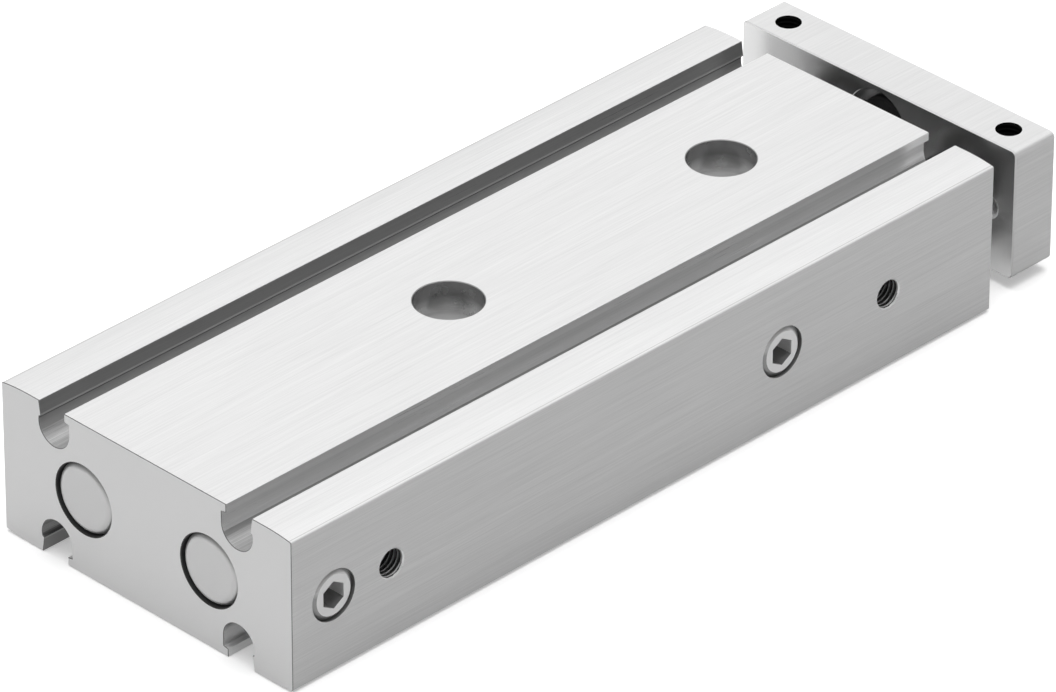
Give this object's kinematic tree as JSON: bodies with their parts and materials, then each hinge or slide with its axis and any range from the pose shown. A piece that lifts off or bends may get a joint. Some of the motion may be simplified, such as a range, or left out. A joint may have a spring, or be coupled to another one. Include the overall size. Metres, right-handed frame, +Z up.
{
  "type": "double piston cylinder",
  "caption": "Flat double piston pneumatic cylinder with a slotted extruded housing, side air ports and a sliding yoke plate on guided piston rods.",
  "frame": {"origin": "on the underside plane, midway between the two mounting holes", "axes": "+X along the stroke towards the yoke plate, +Z up out of the counterbored face, ports face -Y"},
  "size_m": [0.1666, 0.062, 0.0267],
  "materials": {
    "housing_aluminium": "brushed along its length, clear anodised",
    "yoke_aluminium": "brushed, clear anodised",
    "cap_aluminium": "satin",
    "plug_steel": "plated",
    "rod_chrome": "ground and chromed",
    "piston_aluminium": "turned",
    "magnet": "sintered",
    "seal_rubber": "matt",
    "buffer_rubber": "matt",
    "bush_bronze": "sintered bronze",
    "screw_steel": "black oxide",
    "retainer_steel": "spring steel, oiled"
  },
  "bodies": {
    "cylinder": {"housing": "housing_aluminium", "passage_plug_rear": "plug_steel", "passage_plug_front": "plug_steel", "rear_cap_left": "cap_aluminium", "rear_cap_ring_left": "seal_rubber", "guide_bush_left": "bush_bronze", "bush_ring_left": "seal_rubber", "rod_seal_left": "seal_rubber", "seal_retainer_left": "retainer_steel", "snap_ring_left": "retainer_steel", "rear_cap_right": "cap_aluminium", "rear_cap_ring_right": "seal_rubber", "guide_bush_right": "bush_bronze", "bush_ring_right": "seal_rubber", "rod_seal_right": "seal_rubber", "seal_retainer_right": "retainer_steel", "snap_ring_right": "retainer_steel"},
    "slide": {"yoke_plate": "yoke_aluminium", "yoke_screws": "screw_steel", "stop_screw": "screw_steel", "stop_pad": "buffer_rubber", "rod_left": "rod_chrome", "piston_rear_left": "piston_aluminium", "piston_front_left": "piston_aluminium", "piston_magnet_left": "magnet", "piston_seals_left": "seal_rubber", "piston_screw_left": "screw_steel", "buffer_rear_left": "buffer_rubber", "buffer_front_left": "buffer_rubber", "rod_right": "rod_chrome", "piston_rear_right": "piston_aluminium", "piston_front_right": "piston_aluminium", "piston_magnet_right": "magnet", "piston_seals_right": "seal_rubber", "piston_screw_right": "screw_steel", "buffer_rear_right": "buffer_rubber", "buffer_front_right": "buffer_rubber"}
  },
  "joints": [
    {"name": "stroke", "type": "slide", "parent": "cylinder", "child": "slide", "axis": [1, 0, 0], "range_m": [0, 0.08]}
  ]
}
